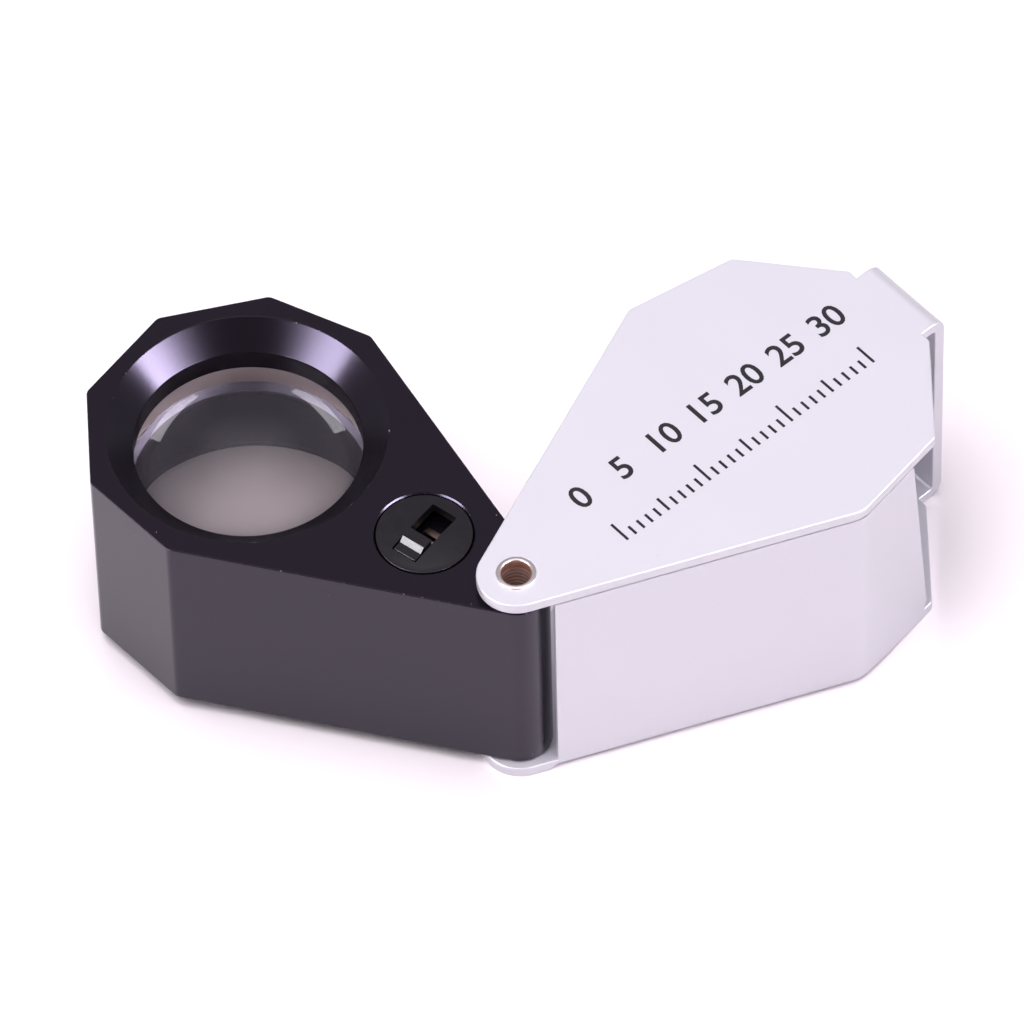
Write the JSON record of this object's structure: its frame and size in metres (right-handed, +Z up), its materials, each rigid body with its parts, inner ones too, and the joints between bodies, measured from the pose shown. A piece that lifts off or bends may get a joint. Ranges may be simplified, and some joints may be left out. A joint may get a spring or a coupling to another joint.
{
  "type": "folding loupe",
  "caption": "Folding pocket loupe: lit triplet lens in a faceted black housing that swings on a hollow rivet out of a bent satin silver cover.",
  "frame": {"origin": "on the plane that the cover's lower leaf rests on, under the middle of the box of the open loupe", "axes": "+Z up through the leaves and along the pivot and the lens axis, +Y along the middle of the open V away from the pivot, +X towards the cover's side"},
  "size_m": [0.0784, 0.0386, 0.0263],
  "materials": {
    "black_anodised": "black anodised, very fine matt blast",
    "satin_silver": "satin silver, fine pearl blast",
    "eyelet_metal": "bright plated, rolled by a rivet set",
    "washer_steel": "plain, lightly oiled",
    "optical_glass": "polished, coated",
    "dark_metal": "blackened, fine turned",
    "black_plastic": "moulded, fine satin",
    "circuit_board": "white solder mask",
    "lamp_resin": "clear resin over yellow phosphor",
    "frosted_plastic": "frosted clear",
    "resistor_ceramic": "glazed chip",
    "cell_steel": "bright nickel plate",
    "insulating_film": "thin film",
    "contact_copper": "copper alloy strip, slightly dulled",
    "spring_steel": "bright spring wire",
    "wire_red": "insulated wire",
    "wire_black": "insulated wire"
  },
  "bodies": {
    "cover": {"cover": "satin_silver", "pivot_rivet": "eyelet_metal", "pivot_washer_lower": "washer_steel", "pivot_washer_upper": "washer_steel"},
    "housing": {"lens_housing": "black_anodised", "lens_front": "optical_glass", "lens_middle": "optical_glass", "lens_rear": "optical_glass", "lens_sleeve": "dark_metal", "lamp_board": "circuit_board", "lamp_window": "frosted_plastic", "lamp_resistor": "resistor_ceramic", "lamp_1": "lamp_resin", "lamp_2": "lamp_resin", "lamp_3": "lamp_resin", "lamp_4": "lamp_resin", "lamp_5": "lamp_resin", "lamp_6": "lamp_resin", "button_cell_1": "cell_steel", "button_cell_2": "cell_steel", "button_cell_3": "cell_steel", "cell_sleeve": "insulating_film", "cell_contact": "contact_copper", "switch_plate": "black_plastic", "switch_base": "black_plastic", "switch_contact_1": "contact_copper", "switch_contact_2": "contact_copper", "wire_red": "wire_red", "wire_black": "wire_black"},
    "slider": {"switch_slider": "black_plastic", "slider_contact": "contact_copper"},
    "cap": {"battery_cap": "black_plastic", "cap_spring": "spring_steel"}
  },
  "joints": [
    {"name": "fold", "type": "hinge", "parent": "cover", "child": "housing", "pos_m": [-0.00101, -0.01564, 0.0127], "axis": [0, 0, 1], "range_deg": [-101.6, 98.4]},
    {"name": "switch_travel", "type": "slide", "parent": "housing", "child": "slider", "axis": [-0.632, -0.7749, 0], "range_m": [-0.003, 0]},
    {"name": "cap_turn", "type": "hinge", "parent": "housing", "child": "cap", "pos_m": [-0.00922, -0.00894, 0.0023], "axis": [0, 0, 1], "range_deg": [-90, 0]}
  ]
}
